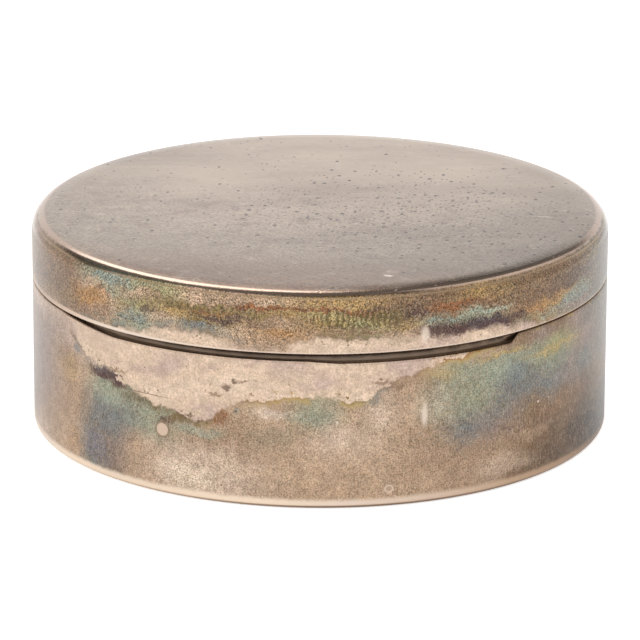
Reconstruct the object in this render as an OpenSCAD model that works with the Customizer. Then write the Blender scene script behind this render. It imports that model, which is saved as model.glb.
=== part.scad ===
// Round silver pill box: a drawn body and a drawn lid joined by a five-knuckle hinge.
// The origin is the centre of the underside, +Z is up, the nail notch faces -Y and
// the hinge is at +Y. All sizes are in millimetres.

/* [Box] */
// Outside diameter of body and lid
box_d = 50; // [40:0.5:70]
// Height of the body, up to its rim
body_h = 13.4; // [10:0.05:30]
// Height of the lid, from its rim to its top
lid_h = 5.25; // [4.6:0.05:10]
// Hairline left between the closed rims
seam_gap = 0.08; // [0.04:0.02:0.2]

/* [Sheet metal] */
// Wall of the body
body_wall = 0.7; // [0.5:0.05:1]
// Wall of the lid
lid_wall = 0.7; // [0.5:0.05:1]
// Thickness of the body's floor
floor_t = 0.9; // [0.6:0.1:1.6]
// Thickness of the lid's top
lid_top_t = 0.8; // [0.6:0.1:1.4]

/* [Edges] */
// Outer radius round the lid's top
lid_edge_r = 1.25; // [0.6:0.05:1.6]
// Outer radius round the body's underside
base_edge_r = 0.45; // [0.3:0.05:1.2]
// Radius in the corners inside body and lid
inner_corner_r = 0.6; // [0.3:0.05:1]
// Bevel on the outer edge of each rim
rim_bevel = 0.12; // [0.05:0.01:0.2]

/* [Collar] */
// Thickness of the collar's lower, soldered part
collar_t = 0.5; // [0.4:0.05:0.8]
// Height of the collar above the body's rim
collar_rise = 2.2; // [1.2:0.1:2.6]
// Depth of the collar below the body's rim
collar_depth = 4.6; // [3:0.1:8]
// Radial clearance between collar and lid
slip_gap = 0.1; // [0.08:0.01:0.15]
// Lead-in bevel on the collar's top edge
collar_bevel = 0.15; // [0.05:0.05:0.2]

/* [Nail notch] */
// Angle of the rim that the notch takes up, in degrees
notch_span = 102; // [40:1:120]
// Depth at the notch's shallow, left side
notch_shallow = 0.5; // [0.4:0.05:1]
// Depth at the notch's deep, right side
notch_deep = 0.68; // [0.4:0.02:1.2]
// Length of the slope down at the left end
notch_run_in = 5.25; // [1:0.25:6]
// Length of the slope up at the right end
notch_run_out = 0.5; // [0.3:0.1:3]
// Where the floor starts to drop, to the right of the middle
notch_drop_at = 3.2; // [0:0.1:8]
// Length over which the floor drops from shallow to deep
notch_drop = 2.5; // [1:0.25:6]

/* [Hinge] */
// Length over all five knuckles
hinge_len = 14; // [10:0.5:18]
// Outside diameter of the knuckles
knuckle_d = 1.8; // [1.6:0.1:2.2]
// Diameter of the pin
pin_d = 0.9; // [0.6:0.05:1]
// How far the hinge axis stands out of the wall
hinge_out = 0.7; // [0.6:0.05:1]
// Angle at which the open lid comes to rest, in degrees
stop_angle = 106; // [95:1:115]
// Gap between neighbouring knuckles
knuckle_gap = 0.06; // [0.04:0.01:0.12]
// Radial clearance of the pin in the lid's knuckles
pin_gap = 0.03; // [0.02:0.01:0.06]
// Clearance round each knuckle where it turns
turn_gap = 0.1; // [0.06:0.02:0.15]
// Distance that the hinge seats stay below the rounding of the lid
seat_margin = 0.55; // [0.2:0.05:1]

/* [Hidden] */
$fn = 240;

box_r = box_d / 2;
seam_z = body_h + seam_gap / 2;
lid_z = body_h + seam_gap;
top_z = lid_z + lid_h;

collar_seat_r = box_r - body_wall;
collar_slip_r = box_r - lid_wall - slip_gap;
collar_bore_r = min(collar_seat_r, collar_slip_r + slip_gap) - collar_t;

knuckle_r = knuckle_d / 2;
pin_r = pin_d / 2;
hinge_y = box_r + hinge_out;
knuckle_count = 5;
knuckle_pitch = (hinge_len + knuckle_gap) / knuckle_count;
knuckle_len = knuckle_pitch - knuckle_gap;
knuckle_bevel = 0.08;
head_r = (pin_r + knuckle_r) / 2;
head_t = 0.25;
head_bevel = 0.12;
BODY_PLACES = [0, 2, 4];
LID_PLACES = [1, 3];

// Section of a hinge seat: its stop face slopes from the axis to the outer face, which
// runs on by seat_edge, and a bevel leads from there back to the wall.
seat_stop = knuckle_r * tan(stop_angle / 2);
seat_edge = 0.35;
seat_reach = lid_h - lid_edge_r - seat_margin;
seat_root_y = sqrt(pow(box_r, 2) - pow(hinge_len / 2, 2));

notch_x = box_r * sin(notch_span / 2);

silver = "LightSteelBlue";
silver_dark = "SlateGray";
silver_pale = "Gainsboro";

// Half section from the axis outwards, with its lower outer corner rounded.
module half_section(r, h, corner) {
    difference() {
        square([r, h]);
        difference() {
            translate([r - corner, -corner]) square(2 * corner);
            translate([r - corner, corner]) circle(corner);
            translate([r - corner - 1, corner]) square([2 * corner + 2, corner + 1]);
            translate([r - 3 * corner, -corner - 1]) square([2 * corner, 3 * corner + 1]);
        }
    }
}

// Half section of an open drawn cup, with a bevel on the outside of its rim.
module cup_section(r, h, wall, bottom, corner) {
    difference() {
        half_section(r, h, corner);
        translate([0, bottom]) half_section(r - wall, h, inner_corner_r);
        polygon([[r - rim_bevel, h], [r + 1, h], [r + 1, h - rim_bevel - 1], [r, h - rim_bevel]]);
    }
}

// Start of a knuckle's place along X, counted from the left.
function knuckle_x(place) = -hinge_len / 2 + place * knuckle_pitch;

// Room for the whole hinge in the two shells.
module hinge_relief() {
    translate([-hinge_len / 2 - turn_gap, hinge_y, seam_z]) rotate([0, 90, 0])
        cylinder(r = knuckle_r + turn_gap, h = hinge_len + 2 * turn_gap);
}

// Long shallow cut in the front of the body's rim.
module notch_cut() {
    floor_left = body_h - notch_shallow;
    floor_right = body_h - notch_deep;
    translate([0, -box_r / 4, 0]) rotate([90, 0, 0])
        linear_extrude(box_r)
            polygon([
                [-notch_x, body_h + 1],
                [-notch_x, body_h],
                [-notch_x + notch_run_in, floor_left],
                [notch_drop_at, floor_left],
                [notch_drop_at + notch_drop, floor_right],
                [notch_x - notch_run_out, floor_right],
                [notch_x, body_h],
                [notch_x, body_h + 1]
            ]);
}

// Drawn cup: floor and wall in one piece of sheet.
module body_shell() {
    color(silver) difference() {
        rotate_extrude() cup_section(box_r, body_h, body_wall, floor_t, base_edge_r);
        notch_cut();
        hinge_relief();
    }
}

// Ring soldered inside the body, turned down above the rim for the lid to slip over.
module inner_collar() {
    foot = body_h - collar_depth;
    tip = body_h + collar_rise;
    color(silver_dark) rotate_extrude() polygon([
        [collar_bore_r, foot],
        [collar_seat_r, foot],
        [collar_seat_r, body_h],
        [collar_slip_r, body_h],
        [collar_slip_r, tip - collar_bevel],
        [collar_slip_r - collar_bevel, tip],
        [collar_bore_r, tip]
    ]);
}

// Drawn cup, upside down: top and skirt in one piece of sheet.
module lid_shell() {
    color(silver) difference() {
        translate([0, 0, top_z]) mirror([0, 0, 1])
            rotate_extrude() cup_section(box_r, lid_h, lid_wall, lid_top_t, lid_edge_r);
        hinge_relief();
    }
}

// Groove in a hinge seat. The seat's own knuckles, listed by place, are tight in it and
// the others have room to turn.
module knuckle_groove(own) {
    translate([0, hinge_y, seam_z]) rotate([0, 90, 0])
        rotate_extrude() polygon([
            [0, knuckle_x(0) - 1],
            for (place = [0 : knuckle_count - 1])
                let (
                    turns = len(search(place, own)) == 0,
                    r = turns ? knuckle_r + turn_gap : knuckle_r,
                    gap = turns ? knuckle_gap : 0,
                    start = place == 0 ? knuckle_x(0) - 1 : knuckle_x(place) - gap,
                    last = place == knuckle_count - 1,
                    end = knuckle_x(place) + knuckle_len + (last ? 1 : gap)
                )
                each [[r, start], [r, end]],
            [0, -knuckle_x(0) + 1]
        ]);
}

// Strip that fills the room between the round wall and the straight hinge, above the seam
// with side = 1 and below it with side = -1. The two strips' stop faces meet when the lid is open.
module hinge_seat(side, own) {
    outer_y = hinge_y + knuckle_r;
    inner_y = seat_root_y - box_r / 4;
    face = side * seam_gap / 2;
    difference() {
        translate([-hinge_len / 2, 0, seam_z]) rotate([90, 0, 90]) linear_extrude(hinge_len)
            polygon([
                [inner_y, face],
                [hinge_y, face],
                [outer_y, side * seat_stop],
                [outer_y, side * (seat_stop + seat_edge)],
                [seat_root_y, side * seat_reach],
                [inner_y, side * seat_reach]
            ]);
        translate([0, 0, -1]) cylinder(r = box_r, h = top_z + 2);
        knuckle_groove(own);
    }
}

module body_hinge_seat() {
    color(silver_dark) hinge_seat(-1, BODY_PLACES);
}

module lid_hinge_seat() {
    color(silver_dark) hinge_seat(1, LID_PLACES);
}

// One length of hinge tube.
module knuckle(place, bore_r) {
    color(silver_pale) translate([knuckle_x(place), hinge_y, seam_z]) rotate([0, 90, 0])
        rotate_extrude() polygon([
            [bore_r, 0],
            [knuckle_r - knuckle_bevel, 0],
            [knuckle_r, knuckle_bevel],
            [knuckle_r, knuckle_len - knuckle_bevel],
            [knuckle_r - knuckle_bevel, knuckle_len],
            [bore_r, knuckle_len]
        ]);
}

module body_knuckle_left() {
    knuckle(BODY_PLACES[0], pin_r);
}

module body_knuckle_centre() {
    knuckle(BODY_PLACES[1], pin_r);
}

module body_knuckle_right() {
    knuckle(BODY_PLACES[2], pin_r);
}

module lid_knuckle_left() {
    knuckle(LID_PLACES[0], pin_r + pin_gap);
}

module lid_knuckle_right() {
    knuckle(LID_PLACES[1], pin_r + pin_gap);
}

// Wire pin, tight in the body's knuckles, with a peened head at each end.
module hinge_pin() {
    color(silver_pale) translate([-hinge_len / 2, hinge_y, seam_z]) rotate([0, 90, 0])
        rotate_extrude() polygon([
            [0, -head_t],
            [head_r - head_bevel, -head_t],
            [head_r, -head_t + head_bevel],
            [head_r, 0],
            [pin_r, 0],
            [pin_r, hinge_len],
            [head_r, hinge_len],
            [head_r, hinge_len + head_t - head_bevel],
            [head_r - head_bevel, hinge_len + head_t],
            [0, hinge_len + head_t]
        ]);
}

body_shell();
inner_collar();
lid_shell();
body_hinge_seat();
lid_hinge_seat();
body_knuckle_left();
body_knuckle_centre();
body_knuckle_right();
lid_knuckle_left();
lid_knuckle_right();
hinge_pin();
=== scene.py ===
import math

import bmesh
import bpy
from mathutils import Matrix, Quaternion, Vector


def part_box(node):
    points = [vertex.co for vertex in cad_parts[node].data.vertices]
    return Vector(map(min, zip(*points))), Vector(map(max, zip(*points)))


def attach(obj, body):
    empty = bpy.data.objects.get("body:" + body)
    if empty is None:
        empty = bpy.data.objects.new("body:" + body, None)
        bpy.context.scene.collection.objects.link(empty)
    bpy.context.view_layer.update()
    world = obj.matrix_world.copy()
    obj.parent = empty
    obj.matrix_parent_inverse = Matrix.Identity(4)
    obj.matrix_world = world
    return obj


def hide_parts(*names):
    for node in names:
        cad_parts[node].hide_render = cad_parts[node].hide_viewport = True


# ------------------------------------------------------------
# The box in its rest place: a round pill box, shut, standing on its flat underside.
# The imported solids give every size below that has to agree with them.
# ------------------------------------------------------------
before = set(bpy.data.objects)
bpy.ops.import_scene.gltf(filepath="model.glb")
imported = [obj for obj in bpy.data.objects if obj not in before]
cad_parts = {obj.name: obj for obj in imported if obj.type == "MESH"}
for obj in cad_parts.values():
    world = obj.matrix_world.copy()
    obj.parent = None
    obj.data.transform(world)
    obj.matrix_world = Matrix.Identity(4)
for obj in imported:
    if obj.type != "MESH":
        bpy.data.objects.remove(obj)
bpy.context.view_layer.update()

MM = 0.001

# ------------------------------------------------------------
# Body. A cup drawn from one piece of silver-plated sheet, with a small rounding where the
# floor turns up, and a long shallow nail notch filed in the front of its rim. It has never
# been polished: the plate has gone through every colour that silver tarnishes to.
# ------------------------------------------------------------
body_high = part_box("body_shell")[1]
pin_low, pin_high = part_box("hinge_pin")
DRUM_R = body_high.x
RIM_Z = body_high.z
SHEET = 0.7 * MM
FLOOR_T = 0.9 * MM
BASE_EDGE_R = 0.45 * MM
INNER_CORNER_R = 0.6 * MM
RIM_BEVEL = 0.12 * MM
RIM_ROUND = RIM_BEVEL * 0.35
INNER_BREAK = 0.02 * MM
NOTCH_HALF_ANGLE = math.radians(51)
NOTCH_SHALLOW = 0.5 * MM
NOTCH_DEEP = 0.68 * MM
NOTCH_RUN_IN = 5.25 * MM
NOTCH_RUN_OUT = 0.5 * MM
NOTCH_DROP_AT = 3.2 * MM
NOTCH_DROP = 2.5 * MM
SEAM_DIP = 0.34 * MM
SEAM_DIP_AT = -68
SEAM_DIP_SPREAD = 75
BODY_BEND = 2.2 * MM
HINGE_LEN = 14.0 * MM
HINGE_Y = (pin_low.y + pin_high.y) / 2
HINGE_Z = (pin_low.z + pin_high.z) / 2
KNUCKLE_R = 0.9 * MM
TURN_GAP = 0.1 * MM
HINGE_CUT = SHEET * 0.6
STEPS_ROUND = 720


def arc(centre_r, centre_z, radius, start, end, steps):
    """Points (r, z) along an arc of the half section, from one angle to another in degrees."""
    points = []
    for i in range(steps + 1):
        a = math.radians(start + (end - start) * i / steps)
        points.append((centre_r + radius * math.cos(a), centre_z + radius * math.sin(a)))
    return points


def straight(start, end, steps):
    """Points (r, z) on a straight stretch of the half section, both ends left out."""
    points = []
    for i in range(1, steps):
        t = i / steps
        points.append((start[0] + (end[0] - start[0]) * t, start[1] + (end[1] - start[1]) * t))
    return points


def spin(name, section, shape=None, steps=STEPS_ROUND):
    """Turns a closed half section round the axis. shape(point) can move each point."""
    mesh = bpy.data.meshes.new(name)
    work = bmesh.new()
    rings = []
    for r, z in section:
        turns = 1 if r < 1e-7 else steps
        ring = []
        for i in range(turns):
            a = 2 * math.pi * i / steps
            point = Vector((r * math.sin(a), -r * math.cos(a), z))
            ring.append(work.verts.new(shape(point) if shape else point))
        rings.append(ring)
    pairs = list(zip(rings, rings[1:]))
    if len(rings[0]) > 1:
        pairs.append((rings[-1], rings[0]))
    for lower, upper in pairs:
        for i in range(steps):
            j = (i + 1) % steps
            if len(lower) == 1:
                work.faces.new((lower[0], upper[j], upper[i]))
            elif len(upper) == 1:
                work.faces.new((lower[i], lower[j], upper[0]))
            else:
                work.faces.new((lower[i], lower[j], upper[j], upper[i]))
    bmesh.ops.recalc_face_normals(work, faces=work.faces)
    for face in work.faces:
        face.smooth = True
    work.to_mesh(mesh)
    work.free()
    piece = bpy.data.objects.new(name, mesh)
    bpy.context.collection.objects.link(piece)
    return piece


def notch_depth(x, y):
    """Depth of the nail notch in the body's rim at a place on the drum."""
    half = DRUM_R * math.sin(NOTCH_HALF_ANGLE)
    if y > 0 or abs(x) >= half:
        return 0.0
    if x < NOTCH_DROP_AT:
        floor = NOTCH_SHALLOW
    else:
        t = min(1.0, (x - NOTCH_DROP_AT) / NOTCH_DROP)
        floor = NOTCH_SHALLOW + (NOTCH_DEEP - NOTCH_SHALLOW) * t
    run_in = min(1.0, (x + half) / NOTCH_RUN_IN)
    run_out = min(1.0, (half - x) / NOTCH_RUN_OUT)
    return floor * min(run_in, run_out)


def clear_hinge(point):
    """Takes a point of the wall out of the room that the knuckles turn in."""
    if abs(point.x) > HINGE_LEN / 2 + TURN_GAP:
        return point
    room = KNUCKLE_R + TURN_GAP
    across = point.z - HINGE_Z
    if abs(across) >= room:
        return point
    nearest = HINGE_Y - math.sqrt(room * room - across * across)
    radius = math.hypot(point.x, point.y)
    if point.y > nearest and radius > DRUM_R - HINGE_CUT:
        point.y = nearest
    return point


def seam_dip(point):
    """The two rims were trued by hand and run a little low at the left of the front."""
    off = math.degrees(math.atan2(point.x, -point.y)) - SEAM_DIP_AT
    if abs(off) >= SEAM_DIP_SPREAD:
        return 0.0
    return SEAM_DIP * math.cos(math.radians(off * 90 / SEAM_DIP_SPREAD)) ** 2


def body_section():
    """Half the body cut through its axis, from the underside round the rim to the floor."""
    inner_r = DRUM_R - SHEET
    low = BASE_EDGE_R
    section = [(0.0, 0.0)]
    section += straight((0.0, 0.0), (DRUM_R - low, 0.0), 24)
    section += arc(DRUM_R - low, low, low, -90, 0, 8)
    section += straight((DRUM_R, low), (DRUM_R, RIM_Z - RIM_BEVEL), 40)
    section += [(DRUM_R, RIM_Z - RIM_BEVEL)]
    section += [(DRUM_R - RIM_ROUND, RIM_Z - RIM_ROUND)]
    section += [(DRUM_R - RIM_BEVEL, RIM_Z)]
    section += [(inner_r + INNER_BREAK, RIM_Z), (inner_r, RIM_Z - INNER_BREAK)]
    section += straight((inner_r, RIM_Z - INNER_BREAK), (inner_r, FLOOR_T + INNER_CORNER_R), 24)
    section += arc(inner_r - INNER_CORNER_R, FLOOR_T + INNER_CORNER_R, INNER_CORNER_R, 0, -90, 8)
    section += straight((inner_r - INNER_CORNER_R, FLOOR_T), (0.0, FLOOR_T), 24)
    section += [(0.0, FLOOR_T)]
    return section


def shape_body(point):
    """Files the notch and dips the rim, fading both out a little way down the wall."""
    from_rim = RIM_Z - point.z
    if from_rim < BODY_BEND:
        lower = notch_depth(point.x, point.y) + seam_dip(point)
        point.z -= lower * (1 - from_rim / BODY_BEND)
    return clear_hinge(point)


body = spin("body_shell_silver", body_section(), shape_body)
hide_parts("body_shell")
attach(body, "box")

# Light from the white table lifts every tone of the metal by about this much.
TABLE_GLOW = 1.36


def tone(red, green, blue):
    """A colour of plate, named 0 to 255 as it looks over a glowing white table."""
    values = []
    for c in (red, green, blue):
        c /= 255
        linear = c / 12.92 if c <= 0.04045 else ((c + 0.055) / 1.055) ** 2.4
        values.append(min(0.97, linear / TABLE_GLOW))
    return (*values, 1.0)


class Nodes:
    """Short ways to put a node tree together."""

    def __init__(self, tree):
        self.tree = tree
        self.tree.nodes.clear()

    def add(self, kind, **settings):
        made = self.tree.nodes.new(kind)
        for key, value in settings.items():
            setattr(made, key, value)
        return made

    def feed(self, socket, value):
        if isinstance(value, bpy.types.NodeSocket):
            self.tree.links.new(value, socket)
        else:
            socket.default_value = value

    def sum(self, operation, *values, clamp=False):
        made = self.add("ShaderNodeMath", operation=operation, use_clamp=clamp)
        for socket, value in zip(made.inputs, values):
            self.feed(socket, value)
        return made.outputs[0]

    def times(self, value, factor):
        return self.sum("MULTIPLY", value, factor)

    def vector(self, operation, *values, scale=None):
        made = self.add("ShaderNodeVectorMath", operation=operation)
        for socket, value in zip(made.inputs, values):
            self.feed(socket, value)
        if scale is not None:
            self.feed(made.inputs["Scale"], scale)
        return made.outputs["Value" if operation in ("LENGTH", "DOT_PRODUCT") else "Vector"]

    def parts(self, vector):
        made = self.add("ShaderNodeSeparateXYZ")
        self.feed(made.inputs[0], vector)
        return made.outputs

    def stretch(self, place, size, at=(0, 0, 0), turn=(0, 0, 0)):
        """Measures places from a point, in steps of the given size along turned X, Y and Z."""
        made = self.add("ShaderNodeMapping", vector_type="TEXTURE")
        self.feed(made.inputs["Vector"], place)
        made.inputs["Location"].default_value = at
        made.inputs["Rotation"].default_value = turn
        made.inputs["Scale"].default_value = size
        return made.outputs[0]

    def shift(self, place, x, y, z):
        """The same places counted from elsewhere, so that no two noises fall alike."""
        return self.stretch(place, (1, 1, 1), (x, y, z))

    def far(self, place, size, at=(0, 0, 0)):
        """How far out a place is in an oval of the given half sizes: 1 is on its edge."""
        return self.vector("LENGTH", self.stretch(place, size, at))

    def grain(self, place, scale, detail=3.0, rough=0.55, colour=False):
        made = self.add("ShaderNodeTexNoise")
        self.feed(made.inputs["Vector"], place)
        made.inputs["Scale"].default_value = scale
        made.inputs["Detail"].default_value = detail
        made.inputs["Roughness"].default_value = rough
        return made.outputs["Color" if colour else 0]

    def ease(self, value, low, high, to_low=0.0, to_high=1.0):
        made = self.add("ShaderNodeMapRange", interpolation_type="SMOOTHSTEP")
        self.feed(made.inputs[0], value)
        self.feed(made.inputs[1], low)
        self.feed(made.inputs[2], high)
        self.feed(made.inputs[3], to_low)
        self.feed(made.inputs[4], to_high)
        return made.outputs[0]

    def blend(self, share, under, over):
        made = self.add("ShaderNodeMix", data_type="FLOAT")
        self.feed(made.inputs[0], share)
        self.feed(made.inputs[2], under)
        self.feed(made.inputs[3], over)
        return made.outputs[0]

    def tint(self, share, under, over, way="MIX"):
        made = self.add("ShaderNodeMix", data_type="RGBA", blend_type=way)
        self.feed(made.inputs[0], share)
        self.feed(made.inputs[6], under)
        self.feed(made.inputs[7], over)
        return made.outputs[2]

    def shade(self, colour, amount):
        """Darkens or lightens a colour by an amount, or by another colour."""
        return self.tint(1.0, colour, amount, "MULTIPLY")

    def colours(self, value, stops):
        made = self.add("ShaderNodeValToRGB")
        self.feed(made.inputs[0], value)
        elements = made.color_ramp.elements
        elements.remove(elements[1])
        elements[0].position = stops[0][0]
        elements[0].color = stops[0][1]
        for position, colour in stops[1:]:
            elements.new(position).color = colour
        return made.outputs[0]

    def warp(self, place, scale, amount, detail=3.0, rough=0.55):
        """Shifts places by a noise, so that what is laid on them gets a ragged edge."""
        noise = self.grain(place, scale, detail, rough, colour=True)
        shift = self.vector("SUBTRACT", noise, (0.5, 0.5, 0.5))
        return self.vector("ADD", place, self.vector("SCALE", shift, scale=amount))

    def dots(self, place, scale, size, share):
        """Round dots on a flat place: how many to the millimetre, how big, and what share of
        them is there."""
        made = self.add("ShaderNodeTexVoronoi", voronoi_dimensions="2D")
        self.feed(made.inputs["Vector"], place)
        made.inputs["Scale"].default_value = scale
        chance = self.parts(made.outputs["Color"])
        reach = self.ease(chance[1], 0.0, 1.0, size * 0.5, size)
        inside = self.ease(self.sum("SUBTRACT", made.outputs["Distance"], reach), 0.06, 0.0)
        there = self.ease(self.sum("SUBTRACT", chance[0], share), 0.01, 0.0)
        return self.times(inside, there)

    def hairs(self, place, turn, length, width, low, high):
        """Fine straight scratches, all along one turned X axis."""
        lanes = self.stretch(place, (length, width, width), turn=turn)
        return self.ease(self.grain(lanes, 1.0, 1.0, 0.4), low, high)


class Finish(Nodes):
    """A metal finish. Places are in millimetres, in the box's own frame."""

    def __init__(self, name):
        self.material = bpy.data.materials.new(name)
        self.material.use_nodes = True
        super().__init__(self.material.node_tree)
        self.metal = self.add("ShaderNodeBsdfPrincipled")
        self.feed(self.add("ShaderNodeOutputMaterial").inputs[0], self.metal.outputs[0])
        place = self.add("ShaderNodeTexCoord").outputs["Object"]
        self.place = self.vector("SCALE", place, scale=1 / MM)
        self.x, self.y, self.z = self.parts(self.place)
        self.radius = self.far(self.place, (1.0, 1.0, 1e6))

    def angle(self, place):
        """Angle round the drum from the front, in degrees, and the height."""
        x, y, z = self.parts(place)
        turn = self.sum("ARCTAN2", x, self.times(y, -1.0))
        return self.times(turn, 180 / math.pi), z

    def unrolled(self, place):
        """The wall laid flat: millimetres round the drum and up it."""
        angle, height = self.angle(place)
        made = self.add("ShaderNodeCombineXYZ")
        self.feed(made.inputs[0], self.times(angle, math.radians(DRUM_R / MM)))
        self.feed(made.inputs[1], height)
        return made.outputs[0]

    def around(self, angle, stops):
        """A colour that changes round the drum, from stops at angles from the front."""
        share = self.sum("MULTIPLY_ADD", angle, 1 / 360, 0.5)
        return self.colours(share, [(a / 360 + 0.5, colour) for a, colour in stops])

    def level(self, angle, stops):
        """A height in mm that changes round the drum."""
        full = 20.0
        share = self.around(angle, [(a, (h / full, h / full, h / full, 1)) for a, h in stops])
        return self.times(share, full)

    def patch(self, place, colour, spot):
        """Lays one patch of colour, a stain, a mark or a painted highlight: angle, height, half
        length, half height, tone, strength, core.
        """
        angle, height, length, tall, stain, strength, core = spot
        a = math.radians(angle)
        r = DRUM_R / MM
        at = (r * math.sin(a), -r * math.cos(a), height)
        far = self.far(place, (length, length, tall), at)
        return self.tint(self.ease(far, 1.0, core, 0.0, strength), colour, stain)

    def finish(self, colour, roughness, height):
        """Wires up the metal: its colour, its roughness and the height of its fine marks."""
        self.feed(self.metal.inputs["Base Color"], colour)
        self.feed(self.metal.inputs["Roughness"], roughness)
        self.metal.inputs["Metallic"].default_value = 0.92
        bump = self.add("ShaderNodeBump")
        bump.inputs["Strength"].default_value = 0.3
        bump.inputs["Distance"].default_value = 0.02 * MM
        self.feed(bump.inputs["Height"], height)
        self.feed(self.metal.inputs["Normal"], bump.outputs[0])
        return self.material


# The tones that the plate has taken, from bare silver to the thickest brown film, and two
# tones of painted shade.
WHITE = tone(252, 230, 206)
CREAM = tone(238, 218, 200)
PEACH = tone(220, 194, 172)
ROSE = tone(202, 176, 158)
SAND = tone(200, 170, 142)
TAN = tone(180, 150, 124)
OCHRE = tone(182, 148, 98)
YELLOW = tone(190, 164, 108)
AMBER = tone(186, 140, 90)
RUST = tone(148, 98, 64)
OLIVE = tone(136, 118, 78)
MOSS = tone(162, 158, 116)
SAGE = tone(158, 160, 138)
MINT = tone(168, 176, 156)
TEAL = tone(140, 151, 142)
SLATE = tone(126, 128, 127)
VIOLET = tone(122, 118, 132)
MAUVE = tone(152, 132, 122)
BROWN = tone(138, 110, 86)
UMBER = tone(112, 90, 74)
PLUM = tone(88, 66, 66)
# Painted shade: the two darkest tones, laid only from about 76 to 95 degrees right of the front,
# on the side of the wall turned from the light.
SIDE_SHADE = tone(112, 104, 96)
DEEP_SIDE_SHADE = tone(42, 32, 26)
GOLD = tone(212, 190, 152)


def paint_wall(finish, bands, stains):
    """Lays the film in level bands, each with its own tones round the drum, then stains."""
    ragged = finish.warp(finish.place, 0.28, 2.6, 4.0)
    ragged = finish.warp(ragged, 1.3, 1.7, 6.0, 0.7)
    angle, height = finish.angle(ragged)
    colour = finish.around(angle, bands[0][1])
    for (low, _), (high, stops) in zip(bands, bands[1:]):
        colour = finish.tint(finish.ease(height, low, high), colour, finish.around(angle, stops))
    for spot in stains:
        colour = finish.patch(ragged, colour, spot)
    return colour


def film_grain(finish, colour, depth):
    """Fine life inside the film: mottling, dark pepper, light grit and short strokes."""
    place = finish.place
    mottle = finish.grain(place, 0.9, 4.0, 0.6)
    colour = finish.shade(colour, finish.ease(mottle, 0.3, 0.7, 0.86, 1.12))
    warm = finish.grain(finish.shift(place, 31, 7, 3), 2.4, 3.0, 0.65)
    colour = finish.tint(finish.ease(warm, 0.54, 0.66, 0.0, 0.20), colour, SAGE)
    colour = finish.tint(finish.ease(warm, 0.46, 0.34, 0.0, 0.22), colour, TAN)
    where = finish.grain(finish.shift(place, 13, 1, 23), 0.22, 2.0)
    busy = finish.ease(where, 0.38, 0.56, 0.55, 1.0)
    blots = finish.grain(place, 3.4, 3.0, 0.55)
    blots = finish.times(finish.ease(blots, 0.55, 0.62, 0.0, 0.42 * depth), busy)
    colour = finish.tint(blots, colour, tone(88, 80, 72))
    sandy = finish.grain(finish.shift(place, 17, 5, 29), 8.5, 2.0, 0.8)
    sandy = finish.ease(sandy, 0.34, 0.66, 1 - 0.62 * depth, 1 + 0.55 * depth)
    colour = finish.shade(colour, sandy)
    flow = finish.grain(finish.stretch(place, (1.7, 1.7, 1), (4, 14, 2)), 1.3, 2.0, 0.5)
    off = finish.sum("ABSOLUTE", finish.sum("SUBTRACT", flow, 0.5))
    vein = finish.times(finish.ease(off, 0.020, 0.0, 0.0, 0.7 * depth), busy)
    colour = finish.tint(vein, colour, UMBER)
    rind = finish.times(finish.ease(off, 0.05, 0.03), finish.ease(off, 0.015, 0.03))
    rind = finish.times(rind, finish.ease(where, 0.5, 0.6, 0.0, 0.45 * depth))
    colour = finish.tint(rind, colour, YELLOW)
    speck = finish.grain(place, 6.5, 2.0, 0.7)
    pepper = finish.times(finish.ease(speck, 0.56, 0.64, 0.0, 0.3 + 0.28 * depth), busy)
    grit = finish.times(finish.ease(speck, 0.42, 0.33, 0.0, 0.25 + 0.2 * depth), busy)
    stroke = finish.grain(finish.stretch(place, (0.09, 0.09, 1.1 - 0.65 * depth)), 1.0, 2.0, 0.6)
    lines = finish.times(finish.ease(stroke, 0.56, 0.68, 0.0, 0.45), busy)
    colour = finish.tint(finish.sum("MAXIMUM", grit, lines), colour, tone(208, 184, 160))
    lines = finish.times(finish.ease(stroke, 0.42, 0.30, 0.0, 0.4), busy)
    colour = finish.tint(finish.sum("MAXIMUM", pepper, lines), colour, tone(84, 66, 54))
    return colour, mottle, speck, stroke
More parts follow.
